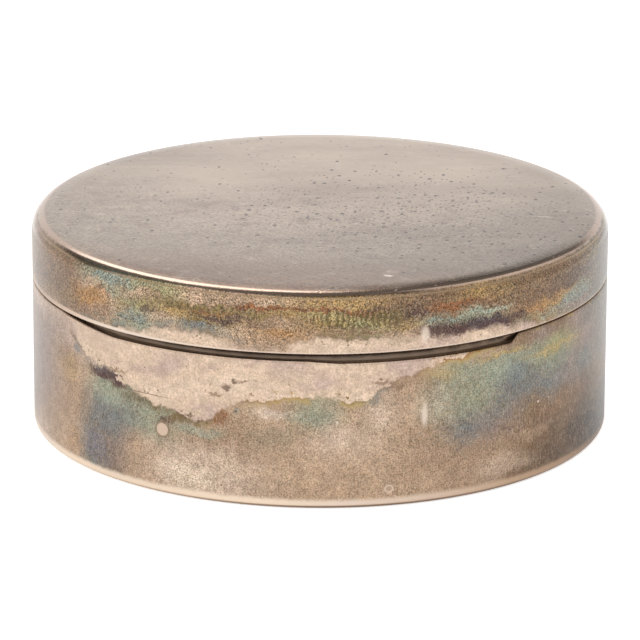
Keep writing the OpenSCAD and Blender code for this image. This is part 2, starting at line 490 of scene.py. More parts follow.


# Height and tones of each band of the body's wall. The sheet has one seamless wall, so the
# first and the last tone of a band are the same. From about 76 to 95 degrees every band
# darkens to painted shade, on the side of the wall turned from the light.
BODY_BANDS = [
    (1.2, [(-180, TAN), (-150, SAGE), (-120, SAND), (-95, MAUVE), (-72, ROSE), (-56, SAND),
           (-46, SAND), (-41, SLATE), (-34, MAUVE), (-29, SAND), (-20, PEACH), (-6, PEACH),
           (4, SAND), (30, SAND), (42, TAN), (50, BROWN), (58, UMBER), (68, UMBER), (80, DEEP_SIDE_SHADE),
           (95, DEEP_SIDE_SHADE), (112, TAN), (135, SLATE), (160, SAND), (180, TAN)]),
    (3.2, [(-180, SAND), (-150, MAUVE), (-120, TAN), (-95, MAUVE), (-70, MAUVE), (-56, TAN),
           (-46, SAND), (-41, SLATE), (-34, MAUVE), (-28, SAND), (-20, PEACH), (-8, PEACH),
           (2, SAND), (20, SAND), (32, TAN), (46, TAN), (54, BROWN), (64, UMBER), (76, DEEP_SIDE_SHADE),
           (94, DEEP_SIDE_SHADE), (115, SAGE), (140, TAN), (165, OCHRE), (180, SAND)]),
    (6.0, [(-180, SAGE), (-150, TEAL), (-120, BROWN), (-95, TAN), (-75, MAUVE), (-60, MAUVE),
           (-50, TAN), (-45, TAN), (-39, SLATE), (-33, SLATE), (-26, SAGE), (-14, TAN),
           (-2, TAN), (5, SAND), (12, PEACH), (24, SAND), (30, TAN), (38, SLATE), (48, MAUVE),
           (56, BROWN), (66, BROWN), (76, UMBER), (92, UMBER), (110, TEAL), (140, OCHRE),
           (180, SAGE)]),
    (8.4, [(-180, TEAL), (-150, SAGE), (-120, TAN), (-95, MAUVE), (-60, MAUVE), (-50, TAN),
           (-44, SAND), (-38, SAGE), (-20, SAGE), (-10, SAND), (2, SAND), (8, SAGE),
           (16, SAND), (21, PEACH), (27, SAND), (32, SAGE), (42, SAGE), (50, SLATE),
           (60, SLATE), (72, MAUVE), (84, SIDE_SHADE), (94, SIDE_SHADE), (110, SLATE), (140, AMBER),
           (180, TEAL)]),
    (11.2, [(-180, OCHRE), (-150, TAN), (-120, ROSE), (-95, MAUVE), (-60, MAUVE), (-46, ROSE),
            (-20, SAND), (0, TAN), (14, SAGE), (24, TAN), (30, TAN), (36, SAGE), (54, SAGE),
            (64, MOSS), (74, MAUVE), (84, SIDE_SHADE), (94, SIDE_SHADE), (108, TAN), (140, SAND),
            (180, OCHRE)]),
    (12.7, [(-180, TAN), (-120, SAND), (-95, MAUVE), (-66, ROSE), (-54, ROSE), (-20, SAND),
            (30, SAND), (44, TAN), (52, BROWN), (58, MAUVE), (64, BROWN), (70, MAUVE),
            (78, SIDE_SHADE), (94, SIDE_SHADE), (108, TAN), (140, SAND), (180, TAN)]),
]

# Stains on the wall: angle, height, half length, half height, tone, strength and core.
BODY_STAINS = [
    (-45, 10.2, 0.8, 0.9, SLATE, 0.85, 0.3),
    (-41, 9.3, 1.0, 0.8, UMBER, 0.8, 0.3),
    (-37, 9.4, 1.2, 0.8, PLUM, 0.9, 0.4),
    (-37, 9.5, 2.0, 0.7, PLUM, 0.95, 0.7),
    (-32, 8.9, 1.3, 0.5, PLUM, 0.85, 0.3),
    (-37, 7.4, 3.0, 1.4, MINT, 0.6, 0.2),
    (-52, 9.4, 1.8, 2.2, TAN, 0.5, 0.2),
    (-36, 5.0, 2.4, 1.5, SLATE, 0.75, 0.2),
    (-39, 2.6, 2.0, 2.0, VIOLET, 0.55, 0.2),
    (-48, 8.2, 2.0, 2.0, OCHRE, 0.6, 0.2),
    (-47, 2.2, 1.8, 1.6, AMBER, 0.35, 0.2),
    (-27, 7.8, 2.4, 0.75, tone(120, 112, 90), 0.8, 0.4),
    (-19, 6.9, 2.6, 0.55, UMBER, 0.85, 0.5),
    (-14, 6.1, 3.0, 0.8, MINT, 0.6, 0.2),
    (-10, 7.8, 1.4, 1.1, RUST, 0.85, 0.4),
    (-5.5, 8.3, 0.7, 0.6, TEAL, 0.7, 0.3),
    (-3, 8.8, 0.7, 0.6, YELLOW, 0.7, 0.3),
    (0.5, 8.5, 2.6, 0.8, CREAM, 0.6, 0.2),
    (-50, 9.6, 2.2, 1.6, BROWN, 0.4, 0.2),
    (0, 6.2, 3.6, 1.7, SAGE, 0.25, 0.2),
    (-16, 2.0, 4.2, 1.9, WHITE, 0.75, 0.2),
    (48, 2.0, 4.8, 1.5, PEACH, 0.6, 0.2),
    (32, 8.4, 3.0, 2.4, PEACH, 0.35, 0.2),
    (9, 8.2, 3.6, 1.2, MINT, 0.4, 0.2),
    (20, 9.8, 0.9, 0.6, SLATE, 0.7, 0.3),
    (24, 10.7, 1.6, 0.5, BROWN, 0.7, 0.3),
    (28, 11.3, 1.4, 0.35, UMBER, 0.6, 0.3),
    (34, 11.0, 2.2, 0.8, YELLOW, 0.5, 0.2),
    (51, 9.8, 2.6, 1.8, tone(122, 134, 138), 0.55, 0.2),
    (46, 10.4, 2.6, 1.6, MINT, 0.6, 0.2),
    (46, 7.2, 2.0, 1.4, SLATE, 0.5, 0.2),
    (63, 9.8, 3.6, 1.0, TEAL, 0.4, 0.2),
    (74, 8.6, 3.0, 2.2, tone(104, 118, 116), 0.6, 0.2),
    (55, 4.4, 3.4, 0.7, SAND, 0.45, 0.2),
    (62, 11.0, 5.5, 0.4, YELLOW, 0.7, 0.3),
    (47, 11.9, 3.6, 0.35, YELLOW, 0.75, 0.3),
]

# How far down the wall the clean plate reaches, and the tone of the line that edges it.
BODY_TIDE = [
    (-180, 12.8), (-120, 11.5), (-90, 13.8), (-62, 13.8), (-52, 13.2), (-47, 11.8), (-43, 10.6),
    (-40, 9.9), (-36, 9.9), (-33, 9.0), (-28, 8.3), (-20, 7.3), (-12, 7.0), (-9, 8.4), (-5, 9.3),
    (0, 9.4), (5, 9.9), (10, 9.7), (15, 9.3), (19, 9.6), (21, 10.4), (26, 11.1), (32, 12.1),
    (42, 12.8), (48, 13.8), (90, 13.8), (110, 12.6), (140, 12.0), (180, 12.8),
]
BODY_TIDE_TONES = [
    (-180, BROWN), (-90, MAUVE), (-60, TAN), (-46, UMBER), (-34, PLUM), (-22, UMBER), (-12, UMBER),
    (-6, BROWN), (4, OCHRE), (10, OLIVE), (18, OLIVE), (24, BROWN), (32, RUST), (50, AMBER),
    (80, AMBER), (120, UMBER), (180, BROWN),
]
BODY_FRINGE_TONES = [
    (-180, OCHRE), (-90, MAUVE), (-47, TAN), (-41, SLATE), (-34, PLUM), (-22, OLIVE), (-12, OLIVE),
    (-6, TAN), (4, YELLOW), (10, YELLOW), (17, YELLOW), (21, SLATE), (26, TAN), (34, YELLOW),
    (80, YELLOW), (120, OCHRE), (180, OCHRE),
]


def clean_plate(finish):
    """The plate where it has stayed nearly clean, clouded with peach and rose."""
    cloud = finish.grain(finish.stretch(finish.place, (2.2, 2.2, 1.0)), 0.35, 4.0, 0.6)
    plate = finish.colours(cloud, [
        (0.36, tone(206, 180, 165)), (0.50, tone(225, 198, 173)), (0.68, tone(234, 208, 184)),
    ])
    blur = finish.grain(finish.stretch(finish.place, (1.5, 1.5, 1), (9, 2, 4)), 1.6, 3.0, 0.6)
    plate = finish.shade(plate, finish.ease(blur, 0.32, 0.68, 0.86, 1.08))
    sandy = finish.grain(finish.place, 6.0, 2.0, 0.8)
    return finish.shade(plate, finish.ease(sandy, 0.32, 0.68, 0.80, 1.14))


def lay_tide(finish, colour, tide, line_tones, fringe_tones, side, soft):
    """Bares the plate past the tide line, and gives the line its dark edge and its fringe.
    side is 1 where the clean plate is above the line and -1 where it is below; soft is how
    wide the faintest parts of the line are."""
    ragged = finish.warp(finish.place, 0.5, 1.5, 3.0)
    ragged = finish.warp(ragged, 2.0, 1.0, 5.0, 0.65)
    angle, height = finish.angle(ragged)
    past = finish.sum("SUBTRACT", height, finish.level(angle, tide))
    past = finish.times(past, side)
    uneven = finish.grain(finish.shift(finish.place, 5, 11, 17), 0.55, 4.0)
    strong = finish.ease(uneven, 0.42, 0.58, 0.1, 1.0 - soft * 0.4)
    strong = finish.times(strong, finish.ease(angle, -49, -45))
    fringe = finish.times(finish.ease(past, -0.8, -0.05), strong)
    colour = finish.tint(fringe, colour, finish.around(angle, fringe_tones))
    line = finish.times(finish.ease(past, finish.blend(strong, -0.08, -0.3), 0.0), strong)
    colour = finish.tint(line, colour, finish.around(angle, line_tones))
    wide = finish.blend(strong, soft, 0.10)
    wide = finish.sum("ADD", wide, finish.ease(angle, -43, -49, 0.0, 2.2))
    clean = finish.ease(past, finish.times(wide, -0.4), wide)
    bits = finish.grain(finish.shift(finish.place, 2, 19, 5), 2.8, 3.0, 0.6)
    bits = finish.ease(bits, finish.ease(past, 0.2, 2.2, 0.52, 0.72), 0.80, 0.0, 3.0)
    clean = finish.sum("SUBTRACT", clean, finish.times(bits, strong), clamp=True)
    return colour, clean


def satin_inside(finish, mottle):
    """The gilt inside: turned rings, dull clouds, a few spots and brown in the corners."""
    place = finish.place
    satin = finish.tint(finish.ease(mottle, 0.35, 0.65), GOLD, PEACH)
    rings = finish.grain(finish.radius, 5.0, 3.0, 0.6)
    satin = finish.shade(satin, finish.ease(rings, 0.3, 0.7, 0.84, 1.10))
    dull = finish.grain(finish.shift(place, 21, 6, 2), 0.16, 4.0, 0.6)
    satin = finish.tint(finish.ease(dull, 0.48, 0.66, 0.0, 0.55), satin, OCHRE)
    corner = finish.sum("MULTIPLY_ADD", mottle, 1.6, finish.radius)
    corner = finish.ease(corner, DRUM_R / MM - 1.0, DRUM_R / MM + 0.4, 0.0, 0.55)
    satin = finish.tint(corner, satin, BROWN)
    spots = finish.dots(finish.warp(place, 2.0, 0.4), 0.45, 0.10, 0.35)
    return finish.tint(finish.times(spots, 0.7), satin, UMBER)


def marked_plate(finish):
    """The body's clean plate with its small marks: flecks, torn spots, rose haze, strokes."""
    place = finish.place
    bare = clean_plate(finish)
    flecks = finish.dots(finish.unrolled(finish.warp(place, 2.0, 0.5)), 1.8, 0.18, 0.05)
    bare = finish.tint(finish.times(flecks, 0.45), bare, BROWN)
    torn = finish.warp(place, 2.6, 0.9, 5.0)
    for spot in [
        (-8.5, 10.2, 0.7, 0.30, UMBER, 0.85, 0.4),
        (-6.8, 10.8, 0.5, 0.28, UMBER, 0.85, 0.4),
        (-5.0, 10.9, 0.6, 0.14, BROWN, 0.8, 0.4),
        (-10.5, 9.5, 0.9, 0.16, BROWN, 0.7, 0.4),
        (22, 10.9, 1.6, 0.22, BROWN, 0.7, 0.3),
        (-33, 9.9, 1.6, 0.14, BROWN, 0.7, 0.3),
    ]:
        bare = finish.patch(torn, bare, spot)
    haze = finish.grain(finish.shift(place, 3, 31, 8), 1.1, 4.0, 0.7)
    bare = finish.tint(finish.ease(haze, 0.50, 0.68, 0.0, 0.35), bare, ROSE)
    fine = finish.grain(finish.stretch(place, (0.09, 0.09, 0.9)), 1.0, 2.0, 0.5)
    return finish.tint(finish.ease(fine, 0.52, 0.70, 0.0, 0.22), bare, TAN)


def paint_foot_reflection(finish, wall, mottle):
    """Paints the white table's reflection as a bright band along the foot, darker on the side
    turned from the light, and brown contact shade where the foot meets the table.
    """
    angle, _ = finish.angle(finish.place)
    # Painted reflection of the white table in the foot, brightest at the front and darker on the
    # side turned from the light.
    rubbed = finish.around(angle, [
        (-180, SAND), (-90, PEACH), (-60, CREAM), (-48, WHITE), (0, WHITE), (16, CREAM),
        (36, PEACH), (50, SAND), (66, TAN), (78, BROWN), (94, BROWN), (130, SAND), (180, SAND),
    ])
    foot = finish.ease(finish.sum("MULTIPLY_ADD", mottle, 0.35, finish.z), 1.2, 0.75)
    wall = finish.tint(foot, wall, rubbed)
    # Painted contact shade: a brown line where the foot meets the table.
    contact_shade = finish.times(finish.ease(finish.z, 0.38, 0.20), finish.ease(angle, -60, 16, 0.2))
    return finish.tint(contact_shade, wall, BROWN)


def worn_underside(finish, mottle):
    """The flat underside: rubbed one way on tables, over turned rings and old clouds."""
    place = finish.place
    worn = finish.tint(finish.ease(mottle, 0.3, 0.7), TAN, SAND)
    rub = finish.hairs(place, (0, 0, math.radians(35)), 7.0, 0.12, 0.6, 0.7)
    worn = finish.tint(finish.times(rub, 0.2), worn, PEACH)
    turned = finish.grain(finish.radius, 3.0, 3.0, 0.6)
    worn = finish.shade(worn, finish.ease(turned, 0.3, 0.7, 0.86, 1.10))
    aged = finish.grain(finish.shift(place, 8, 19, 4), 0.2, 4.0, 0.65)
    return finish.tint(finish.ease(aged, 0.50, 0.64, 0.0, 0.6), worn, MAUVE)


# Marks of fingers, drips and dust over film and plate alike, and one painted highlight,
# listed as the stains are.
BODY_MARKS = [
    (-38, 12.0, 5.0, 1.3, ROSE, 0.55, 0.1),
    (-27, 8.55, 4.2, 0.05, UMBER, 0.75, 0.5),
    # Painted highlight: a tall thin streak of glare, in line with one on the lid.
    (30, 7.8, 0.42, 1.5, CREAM, 0.8, 0.2),
    (-22, 5.7, 0.80, 0.78, BROWN, 0.55, 0.80),
    (-22, 5.7, 0.62, 0.62, PEACH, 0.95, 0.8),
    (23, 1.6, 0.45, 0.40, CREAM, 0.6, 0.8),
    (23, 1.6, 0.30, 0.26, TAN, 0.8, 0.7),
    (13, 7.6, 0.16, 0.16, CREAM, 0.9, 0.3),
    (57, 6.8, 0.20, 0.14, CREAM, 0.8, 0.3),
]


def body_finish():
    """The tarnished film, the clean plate above the tide line, the painted table reflection and
    contact shade along the foot, and the inside.
    """
    finish = Finish("body_silver_tarnished")
    place = finish.place
    drum = DRUM_R / MM
    film = paint_wall(finish, BODY_BANDS, BODY_STAINS)
    film, mottle, speck, stroke = film_grain(finish, film, 0.6)
    film, clean = lay_tide(finish, film, BODY_TIDE, BODY_TIDE_TONES, BODY_FRINGE_TONES, 1, 0.35)
    wall = finish.tint(clean, film, marked_plate(finish))
    # Painted reflection of the table along the foot, with painted contact shade under it.
    wall = paint_foot_reflection(finish, wall, mottle)
    for spot in BODY_MARKS:
        wall = finish.patch(place, wall, spot)

    scratch = finish.hairs(place, (0, math.radians(80), 0), 6.0, 0.07, 0.68, 0.74)
    wall = finish.tint(finish.times(scratch, 0.35), wall, CREAM)

    inside = finish.ease(finish.radius, drum - 0.25, drum - 0.4)
    inside = finish.times(inside, finish.ease(finish.z, 0.3, 0.5))
    wall = finish.tint(inside, wall, satin_inside(finish, mottle))
    under = finish.ease(finish.radius, drum - 0.3, drum - 0.8)
    under = finish.times(under, finish.ease(finish.z, 0.08, 0.02))
    wall = finish.tint(under, wall, worn_underside(finish, mottle))

    rough = finish.blend(clean, finish.ease(speck, 0.3, 0.7, 0.38, 0.28), 0.20)
    return finish.finish(wall, rough, finish.sum("ADD", stroke, speck))


body.data.materials.append(body_finish())

# ------------------------------------------------------------
# Collar. A turned ring soldered inside the body, which stands above the rim for the lid to
# slip over. Where the notch opens on it, it is nearly black: dark tarnish with painted shade
# for the recess under the lid, and painted light toward the notch's right end and along the
# strip's lower edge. It is rubbed where the lid slides on it.
# ------------------------------------------------------------
collar_low, collar_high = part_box("inner_collar")
COLLAR_SEAT_R = DRUM_R - SHEET
SLIP_GAP = 0.1 * MM
COLLAR_SLIP_R = COLLAR_SEAT_R - SLIP_GAP
COLLAR_BORE_R = DRUM_R - 1.2 * MM
COLLAR_BEVEL = 0.15 * MM
BORE_BEVEL = 0.08 * MM


def collar_section():
    """Half the collar: full outside below the rim, a slip fit smaller above it."""
    low = collar_low.z
    high = collar_high.z
    section = [(COLLAR_BORE_R, low), (COLLAR_SEAT_R, low)]
    section += straight((COLLAR_SEAT_R, low), (COLLAR_SEAT_R, RIM_Z), 6)
    section += [(COLLAR_SEAT_R, RIM_Z), (COLLAR_SLIP_R, RIM_Z + 0.01 * MM)]
    section += straight((COLLAR_SLIP_R, RIM_Z), (COLLAR_SLIP_R, high - COLLAR_BEVEL), 6)
    section += arc(COLLAR_SLIP_R - COLLAR_BEVEL, high - COLLAR_BEVEL, COLLAR_BEVEL, 0, 90, 4)
    section += arc(COLLAR_BORE_R + BORE_BEVEL, high - BORE_BEVEL, BORE_BEVEL, 90, 180, 3)
    section += straight((COLLAR_BORE_R, high - BORE_BEVEL), (COLLAR_BORE_R, low), 8)
    return section


collar = spin("inner_collar_silver", collar_section(), steps=360)
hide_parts("inner_collar")
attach(collar, "box")


def collar_finish():
    """Dull brown outside; in the notch black to umber, tarnish with painted shade and painted
    light; gilt satin in the bore.
    """
    finish = Finish("collar_silver_dulled")
    place = finish.place
    bore_r = COLLAR_BORE_R / MM
    mottle = finish.grain(place, 0.8, 4.0, 0.6)
    slide = finish.grain(finish.stretch(place, (0.12, 0.12, 2.0)), 1.0, 3.0, 0.6)
    outside = finish.tint(finish.ease(mottle, 0.35, 0.65), UMBER, BROWN)
    outside = finish.tint(finish.ease(slide, 0.55, 0.75, 0.0, 0.5), outside, SAND)
    angle, height = finish.angle(finish.warp(place, 0.6, 0.5))
    # Dark tarnish with painted shade in the notch, where the collar sits in the recess under the
    # lid.
    notch = finish.ease(finish.sum("ABSOLUTE", angle), 54.0, 50.0)
    notch = finish.times(notch, finish.ease(height, 14.0, 13.7))
    # Painted light: the strip lightens toward the notch's right end, where more light reaches in.
    lit = finish.tint(finish.ease(angle, 20, 46), tone(94, 82, 74), tone(150, 128, 106))
    black = finish.tint(finish.ease(mottle, 0.35, 0.65), lit, tone(80, 68, 60))
    # Painted light along the strip's lower edge.
    black = finish.tint(finish.ease(height, 13.2, 12.85, 0.0, 0.7), black, tone(146, 126, 108))
    outside = finish.tint(notch, outside, black)
    bore = finish.tint(finish.ease(mottle, 0.35, 0.65), GOLD, PEACH)
    spun = finish.grain(finish.stretch(place, (4.0, 4.0, 0.12)), 1.0, 3.0, 0.6)
    bore = finish.shade(bore, finish.ease(spun, 0.3, 0.7, 0.90, 1.05))
    in_bore = finish.ease(finish.radius, bore_r + 0.2, bore_r + 0.1)
    colour = finish.tint(in_bore, outside, bore)
    rough = finish.ease(mottle, 0.3, 0.7, 0.26, 0.38)
    return finish.finish(colour, rough, finish.sum("ADD", slide, spun))


collar.data.materials.append(collar_finish())

# ------------------------------------------------------------
# Lid. A shallow cup drawn from the same sheet, turned over, with a fuller rounding at the
# top. The flat top is worn to an even grey with small pits; its wall has coloured bands.
# ------------------------------------------------------------
lid_low, lid_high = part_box("lid_shell")
LID_RIM_Z = lid_low.z
TOP_Z = lid_high.z
LID_TOP_T = 0.8 * MM
SHOULDER_R = 1.39 * MM
SHOULDER_DROP = 1.46 * MM
LEAD_FROM_EDGE = 2.6 * MM
LEAD_TO_EDGE = 1.2 * MM
LEAD_DROP = 0.085 * MM
LEAD_STEPS = 12
LID_BEND = 2.6 * MM


def lid_section():
    """Half the lid. Its flat leads into the rounding gently, as spun metal does."""
    inner_r = DRUM_R - SHEET
    roof = TOP_Z - LID_TOP_T
    lead_from = DRUM_R - LEAD_FROM_EDGE
    lead_to = DRUM_R - LEAD_TO_EDGE
    section = [(0.0, TOP_Z)]
    section += straight((0.0, TOP_Z), (lead_from, TOP_Z), 40)
    for i in range(LEAD_STEPS):
        t = i / LEAD_STEPS
        section.append((lead_from + (lead_to - lead_from) * t, TOP_Z - LEAD_DROP * t * t))
    shoulder = TOP_Z - SHOULDER_DROP
    section += arc(DRUM_R - SHOULDER_R, shoulder, SHOULDER_R, 82, 0, 16)
    section += straight((DRUM_R, shoulder), (DRUM_R, LID_RIM_Z + RIM_BEVEL), 20)
    section += [(DRUM_R, LID_RIM_Z + RIM_BEVEL)]
    section += [(DRUM_R - RIM_ROUND, LID_RIM_Z + RIM_ROUND)]
    section += [(DRUM_R - RIM_BEVEL, LID_RIM_Z), (inner_r + INNER_BREAK, LID_RIM_Z)]
    section += [(inner_r, LID_RIM_Z + INNER_BREAK)]
    section += straight((inner_r, LID_RIM_Z + INNER_BREAK), (inner_r, roof - INNER_CORNER_R), 12)
    section += arc(inner_r - INNER_CORNER_R, roof - INNER_CORNER_R, INNER_CORNER_R, 0, 90, 8)
    section += straight((inner_r - INNER_CORNER_R, roof), (0.0, roof), 24)
    section += [(0.0, roof)]
    return section


def shape_lid(point):
    """Dips the lid's rim with the body's, so that the seam stays shut."""
    from_rim = point.z - LID_RIM_Z
    if from_rim < LID_BEND:
        point.z -= seam_dip(point) * (1 - from_rim / LID_BEND)
    return clear_hinge(point)


lid = spin("lid_shell_silver", lid_section(), shape_lid)
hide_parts("lid_shell")
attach(lid, "lid")

# Height and tones of each band of the lid's wall, as the body's, with the same painted shade
# from about 78 to 94 degrees.
LID_BANDS = [
    (14.3, [(-180, TAN), (-140, SAGE), (-100, BROWN), (-46, BROWN), (-36, TAN), (-28, SAGE),
            (-18, SAND), (-6, SAND), (4, TAN), (16, SAND), (30, ROSE), (40, TAN), (48, BROWN),
            (56, SAGE), (70, MAUVE), (80, SIDE_SHADE), (94, SIDE_SHADE), (120, SAGE), (150, AMBER),
            (180, TAN)]),
    (15.3, [(-180, SAGE), (-140, TEAL), (-100, TAN), (-75, BROWN), (-60, UMBER), (-48, BROWN),
            (-41, AMBER), (-34, SAND), (-28, SAGE), (-22, SAND), (-14, SAGE), (-6, SAND),
            (2, AMBER), (10, TAN), (18, BROWN), (25, SAND), (32, PLUM), (42, PLUM),
            (49, BROWN), (56, AMBER), (63, OCHRE), (68, SAGE), (80, SIDE_SHADE), (94, SIDE_SHADE),
            (120, OCHRE), (150, TAN), (180, SAGE)]),
    (16.1, [(-180, OCHRE), (-140, AMBER), (-100, MAUVE), (-75, BROWN), (-48, BROWN),
            (-41, AMBER), (-35, SAND), (-29, MOSS), (-20, OCHRE), (-13, OLIVE), (-6, BROWN),
            (2, TAN), (10, OCHRE), (18, MOSS), (26, OCHRE), (32, SAGE), (42, SAGE),
            (50, BROWN), (57, BROWN), (66, UMBER), (78, SIDE_SHADE), (94, SIDE_SHADE), (120, BROWN),
            (150, OCHRE), (180, OCHRE)]),
    (16.9, [(-180, RUST), (-140, OLIVE), (-100, MAUVE), (-75, BROWN), (-48, BROWN),
            (-41, SAND), (-34, SAGE), (-27, SAND), (-20, OLIVE), (-12, RUST), (-4, OLIVE),
            (4, OCHRE), (11, MOSS), (20, OLIVE), (28, UMBER), (36, RUST), (46, BROWN),
            (56, BROWN), (66, UMBER), (78, SIDE_SHADE), (94, SIDE_SHADE), (120, OLIVE), (150, RUST),
            (180, RUST)]),
    (17.7, [(-180, BROWN), (-140, SAND), (-100, ROSE), (-75, MAUVE), (-60, BROWN),
            (-48, BROWN), (-39, SAGE), (-30, SAGE), (-22, MOSS), (-16, SAND), (-8, TAN),
            (0, SAND), (8, OCHRE), (18, OCHRE), (26, BROWN), (34, BROWN), (42, OCHRE),
            (52, BROWN), (64, BROWN), (78, SIDE_SHADE), (94, SIDE_SHADE), (120, SAND), (150, BROWN),
            (180, BROWN)]),
]

LID_STAINS = [
    (-35, 17.6, 2.9, 0.5, TEAL, 0.85, 0.6),
    (-38, 15.6, 2.2, 0.9, AMBER, 0.6, 0.4),
    (-36, 16.4, 1.2, 0.5, RUST, 0.7, 0.2),
    (-29, 15.0, 2.2, 0.5, TEAL, 0.8, 0.6),
    (-25, 15.7, 1.4, 0.25, PLUM, 0.7, 0.3),
    (-14, 15.5, 2.6, 0.35, SLATE, 0.8, 0.6),
    (-9, 16.2, 3.0, 0.32, PLUM, 0.75, 0.6),
    (-20, 16.6, 2.4, 0.25, OLIVE, 0.8, 0.6),
    (-12, 17.1, 3.4, 0.32, OLIVE, 0.95, 0.7),
    (-1, 17.4, 3.6, 0.25, RUST, 0.95, 0.7),
    (14, 17.3, 5.0, 0.26, RUST, 0.95, 0.7),
    (9, 17.0, 3.0, 0.16, YELLOW, 0.8, 0.3),
    (25, 17.4, 3.4, 0.25, UMBER, 0.9, 0.6),
    (14, 16.6, 3.4, 0.7, YELLOW, 0.5, 0.2),
    (29, 16.9, 1.6, 0.4, PLUM, 0.8, 0.6),
    (35, 17.2, 2.2, 0.28, RUST, 0.85, 0.6),
    (34, 15.0, 1.8, 0.55, PLUM, 0.9, 0.7),
    (44, 15.2, 3.0, 0.62, tone(82, 72, 78), 0.95, 0.7),
    (51, 14.9, 1.0, 0.4, PLUM, 0.8, 0.4),
    (34, 16.1, 1.8, 0.25, TEAL, 0.85, 0.6),
    (44, 16.15, 2.8, 0.2, MINT, 0.85, 0.6),
    (57, 15.0, 0.6, 0.5, RUST, 0.7, 0.3),
    (69, 14.8, 4.0, 0.6, TEAL, 0.7, 0.5),
    (66, 15.7, 3.0, 0.3, AMBER, 0.6, 0.3),
]

# How far up the wall the clean plate reaches from the rim.
LID_TIDE = [
    (-180, 14.0), (-140, 14.6), (-100, 13.4), (-60, 13.2), (-40, 13.5), (-30, 13.9), (-25, 14.4),
    (-20, 14.9), (-12, 14.9), (-8, 14.3), (-2, 13.7), (3, 13.9), (6, 14.7), (14, 15.1), (27, 14.8),
    (33, 14.6), (44, 14.7), (52, 14.3), (58, 13.8), (70, 13.5), (120, 13.4), (180, 14.0),
]
LID_TIDE_TONES = [
    (-180, BROWN), (-60, BROWN), (-30, PLUM), (-20, UMBER), (-8, OLIVE), (4, TAN), (12, UMBER),
    (26, UMBER), (32, PLUM), (50, PLUM), (60, BROWN), (180, BROWN),
]
LID_FRINGE_TONES = [
    (-180, OCHRE), (-60, BROWN), (-34, TEAL), (-26, TEAL), (-18, SLATE), (-8, SLATE), (2, TAN),
    (12, OLIVE), (22, MOSS), (28, TAN), (33, PLUM), (50, PLUM), (58, OCHRE), (74, TEAL),
    (180, OCHRE),
]


def lid_top(finish, mottle):
    """The flat top: cloudy grey plate with brown spots, pits, hairlines and one bare fleck, with
    painted shade that darkens and warms it toward the front and toward its rim.
    """
    place = finish.place
    cloud = finish.grain(finish.stretch(place, (2.4, 1.0, 1.0), turn=(0, 0, 0.3)), 0.10, 5.0, 0.55)
    top = finish.colours(cloud, [
        (0.34, tone(162, 143, 127)), (0.46, tone(178, 160, 144)), (0.60, tone(194, 176, 158)),
    ])
    # Painted shade: the top darkens toward the front and right and toward its rim, and warms at
    # the front, where less light falls on it.
    forward = finish.sum("SUBTRACT", finish.times(finish.x, 0.35), finish.y)
    shade = finish.ease(forward, -14.0, 27.0, 1.06, 0.66)
    top = finish.shade(top, shade)
    rim_shade = finish.far(place, (21, 27, 1000), (1, 6, 0))
    top = finish.shade(top, finish.ease(rim_shade, 0.40, 1.05, 1.07, 0.80))
    front = finish.ease(finish.y, -12.0, -22.0)
    warm = finish.tint(front, (1.0, 0.955, 0.91, 1), (0.97, 0.73, 0.57, 1))
    top = finish.shade(top, warm)
    near = finish.ease(finish.y, 12.0, -6.0, 0.10, 1.0)
    blot = finish.grain(finish.shift(place, 41, 3, 9), 0.42, 4.0, 0.65)
    blot = finish.times(finish.ease(blot, 0.50, 0.66, 0.0, 0.6), near)
    top = finish.tint(blot, top, tone(140, 116, 102))
    pale = finish.grain(finish.shift(place, 7, 83, 1), 0.6, 4.0, 0.7)
    top = finish.tint(finish.ease(pale, 0.58, 0.72, 0.0, 0.35), top, tone(210, 194, 178))
    fine = finish.grain(place, 4.2, 3.0, 0.75)
    crisp = finish.blend(near, 1.0, finish.ease(fine, 0.32, 0.68, 0.70, 1.24))
    top = finish.shade(top, crisp)

    crowd = finish.far(place, (19, 14, 1000), (9, -1, 0))
    crowd = finish.ease(crowd, 1.25, 0.2, 0.06, 0.55)
    loose = finish.stretch(finish.warp(place, 3.0, 0.25), (1, 1.5, 1))
    large = finish.dots(loose, 1.0, 0.14, crowd)
    small = finish.dots(finish.shift(loose, 3, 5, 0), 2.3, 0.20, crowd)
    top = finish.tint(finish.times(small, 0.85), top, tone(104, 78, 60))
    top = finish.tint(finish.times(large, 0.95), top, tone(74, 52, 40))
    for turn, strength in ((0.2, 0.30), (0.75, 0.24), (-0.5, 0.24), (2.2, 0.22)):
        hair = finish.hairs(place, (0, 0, turn), 9.0, 0.09, 0.66, 0.76)
        top = finish.tint(finish.times(hair, strength), top, CREAM)
    torn = finish.warp(place, 2.0, 0.3)
    for x, y, long, wide, strength in (
        (8.9, -18.6, 0.5, 0.28, 0.95),
        (19.6, 0.7, 0.9, 0.12, 0.6),
    ):
        off = finish.far(torn, (long, wide, 50), (x, y, 18))
        top = finish.tint(finish.ease(off, 1.0, 0.6, 0.0, strength), top, CREAM)
    return top, large, small, fine


def dried_ripples(finish):
    """How dark the film is in the ripples that it dried in, right of the middle."""
    ripple = finish.add("ShaderNodeTexWave", wave_type="BANDS", bands_direction="X")
    finish.feed(ripple.inputs["Vector"], finish.place)
    ripple.inputs["Scale"].default_value = 0.70
    ripple.inputs["Distortion"].default_value = 10.0
    ripple.inputs["Detail"].default_value = 3.0
    ripple.inputs["Detail Scale"].default_value = 1.1
    area = finish.stretch(finish.place, (5.0, 30.0, 1.0), (7.0, -24.0, 16.5))
    area = finish.ease(finish.vector("LENGTH", area), 1.0, 0.6)
    return finish.times(finish.ease(ripple.outputs[1], 0.55, 0.25), area)


